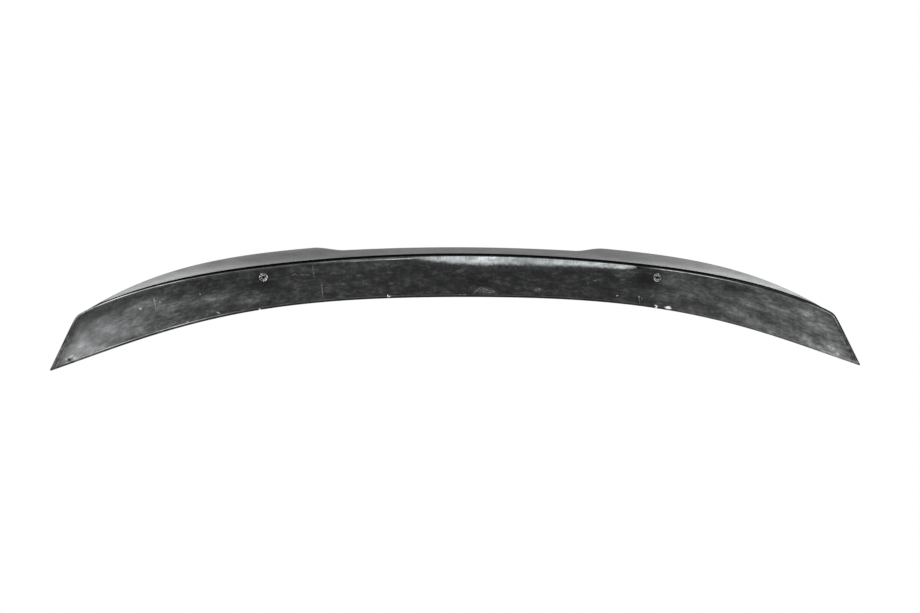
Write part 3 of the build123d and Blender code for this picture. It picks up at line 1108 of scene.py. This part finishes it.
def paint_finish():
    """Satin charcoal paint: a faint orange peel, dust, and hairlines where it was wiped."""
    finish = Finish("satin_charcoal")
    place = finish.place()
    clouds = finish.noise(place, (60, 40, 40), 4.0, 0.6)
    wiped = finish.noise(place, (34, 22, FAR), 4.0, 0.62)
    hairlines = finish.times(
        finish.between(finish.noise(place, (55, 0.8, FAR), 3.0, 0.62), 0.56, 0.7),
        finish.between(wiped, 0.42, 0.66),
    )
    dust = finish.between(finish.noise(place, (1.4, 1.4, 1.4), 2.0), 0.7, 0.78, 0.0, DUST_TONE)
    tone = finish.math("ADD", finish.between(clouds, *WIDE, *PAINT_TONES), dust)
    tone = finish.math("ADD", tone, finish.times(hairlines, HAIRLINE_TONE))
    marked = finish.math(
        "ADD",
        finish.between(wiped, *MIDDLE, *PAINT_ROUGHNESS),
        finish.times(hairlines, HAIRLINE_ROUGHNESS),
    )
    finish.set(Base_Color=finish.mix(tone, BLACK, PAINT_TINT), Roughness=marked)
    finish.bump(finish.noise(place, (1.8, 1.8, 1.8), 2.0), distance=0.03, strength=0.3)
    return finish.material


def rear_finish():
    """The same paint on the rear face, paler towards the ends and towards the groove as painted light,
    with painted shade along the groove.
    """
    finish = Finish("satin_rear_face")
    place = finish.place()
    x, rear, _ = finish.split(finish.plan())
    brushed = finish.noise(place, (60, 2.0, 2.0), 4.0, 0.6)
    clouds = finish.noise(place, (26, 12, 12), 4.0, 0.6)
    # painted shade along the groove, which darkens and dulls the foot of the rear face
    from_slot_shade = finish.math("ADD", rear, finish.times(along(finish, x, SLOT_SHADE_EDGES), SLOT_SHADE_SCALE))
    slot_shade = finish.between(from_slot_shade, -SLOT_SHADE_SOFT, SLOT_SHADE_SOFT, 0.0, SLOT_SHADE_COVER)
    tone = finish.times(
        along(finish, x, REAR_TONES_AND_PAINTED_LIGHT),
        finish.between(brushed, *MIDDLE, 0.9, 1.12),
        finish.between(clouds, *MIDDLE, 0.88, 1.12),
        finish.between(rear, *REAR_LIGHT_FADE, 0.82, 1.24),
        finish.math("SUBTRACT", 1.0, slot_shade),
    )
    finish.set(
        Base_Color=finish.mix(tone, BLACK, REAR_TINT),
        Roughness=finish.between(clouds, *WIDE, *REAR_ROUGHNESS),
        Specular_IOR_Level=finish.math("SUBTRACT", REAR_GLOSS, finish.times(slot_shade, SLOT_SHADE_DULLING)),
    )
    finish.bump(finish.noise(place, (1.8, 1.8, 1.8), 2.0), distance=0.03, strength=0.4)
    return finish.material


def groove_finish():
    """Matt black inside the shadow groove and on the foot: the raw black plastic, made darker as
    painted shade, a little dusty.
    """
    finish = Finish("groove_black")
    dust = finish.noise(finish.place(), (14, 5, 5), 4.0, 0.6)
    clean, dusty = (grey(tone) for tone in SLOT_TONES)
    finish.set(
        Base_Color=finish.mix(finish.between(dust, 0.4, 0.8), clean, dusty),
        Roughness=finish.between(dust, *MIDDLE, *SLOT_ROUGHNESS),
        Specular_IOR_Level=0.08,
    )
    finish.bump(dust, distance=0.1, strength=0.4)
    return finish.material


def zinc_finish():
    """Zinc plate, bright on a rubbed ring and in painted glints round the hole, dark with dirt
    elsewhere and with painted shade in the hole.
    """
    finish = Finish("zinc_plate")
    place = finish.place()
    x, y, _ = finish.split(place)
    from_axis = finish.math("SUBTRACT", finish.math("ABSOLUTE", x), INSERT_X)
    squares = finish.math("ADD", finish.times(from_axis, from_axis), finish.times(y, y))
    radius = finish.math("SQRT", squares)
    dirt = finish.noise(place, (2.6, 2.6, FAR), 3.0, 0.6)
    spots = finish.noise(place, (1.9, 1.9, FAR), 2.0)
    ring = finish.times(edge_line(finish, radius, *RING), finish.between(dirt, 0.45, 0.64))
    # painted glints: clean metal round the hole's edge and in spots on the flange
    mouth = finish.times(edge_line(finish, radius, *MOUTH), finish.between(spots, 0.48, 0.56))
    glints = finish.times(finish.between(spots, 0.6, 0.68), finish.between(radius, *GLINT_START))
    bright = finish.largest(ring, mouth, glints)
    dirt_and_hole_shade = finish.mix(finish.between(radius, *HOLE_EDGE), grey(HOLE_SHADE_TONE), grey(DIRT_TONE))
    finish.set(
        Base_Color=finish.mix(bright, dirt_and_hole_shade, ZINC_COLOUR),
        Metallic=finish.between(bright, 0.0, 1.0, *ZINC_METALLIC),
        Roughness=finish.between(bright, 0.0, 1.0, *ZINC_ROUGHNESS),
    )
    finish.bump(dirt, distance=0.06, strength=0.5)
    return finish.material


# Stage

def studio_ray(tree):
    """Light Path sum that is one for rays that show the background."""
    rays = tree.nodes.new("ShaderNodeLightPath").outputs
    total = rays["Is Camera Ray"]
    for name in ("Is Glossy Ray", "Is Transmission Ray"):
        larger = tree.nodes.new("ShaderNodeMath")
        larger.operation = "MAXIMUM"
        tree.links.new(total, larger.inputs[0])
        tree.links.new(rays[name], larger.inputs[1])
        total = larger.outputs[0]
    return total


def white_world():
    """White to the eye and in reflections, softer as a light."""
    world = bpy.data.worlds.new("studio")
    bpy.context.scene.world = world
    world.use_nodes = True
    tree = world.node_tree
    background = tree.nodes["Background"]
    background.inputs["Color"].default_value = grey(1.0)
    strength = tree.nodes.new("ShaderNodeMapRange")
    strength.inputs["To Min"].default_value = WORLD_LIGHT
    tree.links.new(studio_ray(tree), strength.inputs["Value"])
    tree.links.new(strength.outputs[0], background.inputs["Strength"])


def pale_floor():
    mesh = bpy.data.meshes.new("floor")
    made = bmesh.new()
    bmesh.ops.create_grid(made, x_segments=1, y_segments=1, size=FLOOR_SIZE * MM / 2)
    made.to_mesh(mesh)
    made.free()
    floor = new_object("floor", mesh)
    floor.location.z = FLOOR_LEVEL * MM
    finish = Finish("pale_floor")
    finish.set(Base_Color=grey(FLOOR_TONE), Roughness=0.9, Emission_Color=grey(1.0))
    shown = finish.node("MapRange", {"Value": studio_ray(finish.tree), "To Max": FLOOR_GLOW})
    finish.set(Emission_Strength=shown.outputs[0])
    mesh.materials.append(finish.material)


def lamp(name, place, aim, size, watts):
    """Soft rectangular lamp at a place in millimetres, unseen by the camera."""
    data = bpy.data.lights.new(name, "AREA")
    data.shape = "RECTANGLE"
    data.size, data.size_y = (side * MM for side in size)
    data.energy = watts
    made = new_object(name, data)
    made.location = Vector(place) * MM
    made.rotation_mode = "QUATERNION"
    made.rotation_quaternion = (Vector(aim) - Vector(place)).to_track_quat("-Z", "Y")
    made.visible_camera = False


def camera():
    """Camera below the part, with the car's rear at the top of the picture."""
    back = Vector((
        -math.sin(CAMERA_YAW),
        math.cos(CAMERA_YAW) * math.sin(CAMERA_TILT),
        -math.cos(CAMERA_YAW) * math.cos(CAMERA_TILT),
    ))
    up = Vector((0, -math.cos(CAMERA_TILT), -math.sin(CAMERA_TILT)))
    turn = Matrix((up.cross(back), up, back)).transposed() @ Matrix.Rotation(CAMERA_ROLL, 3, "Z")
    data = bpy.data.cameras.new("camera")
    data.lens = CAMERA_LENS
    made = new_object("camera", data)
    made.matrix_world = Matrix.Translation((CAMERA_AIM + back * CAMERA_DISTANCE) * MM) @ turn.to_4x4()
    bpy.context.scene.camera = made


def build_body():
    body = new_object("spoiler_shell", lofted_mesh())
    for x in (-INSERT_X, INSERT_X):
        cut_away(body, new_object("pocket", pocket_mesh(x)))
    shade(body.data)
    mark_plan(body.data)
    for finish in (raw_finish(), paint_finish(), rear_finish(), groove_finish()):
        body.data.materials.append(finish)
    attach(body, "root")
    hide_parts("spoiler_body")


def build_inserts():
    zinc = zinc_finish()
    for side, x in (("left", -INSERT_X), ("right", INSERT_X)):
        name = "threaded_insert_" + side
        insert = new_object(name, insert_mesh(name, x))
        shade(insert.data)
        insert.data.materials.append(zinc)
        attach(insert, "root")
        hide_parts("threaded_inserts")


build_body()
build_inserts()
white_world()
pale_floor()
for listed in LAMPS:
    lamp(*listed)
camera()
bpy.context.scene.view_settings.view_transform = "Standard"
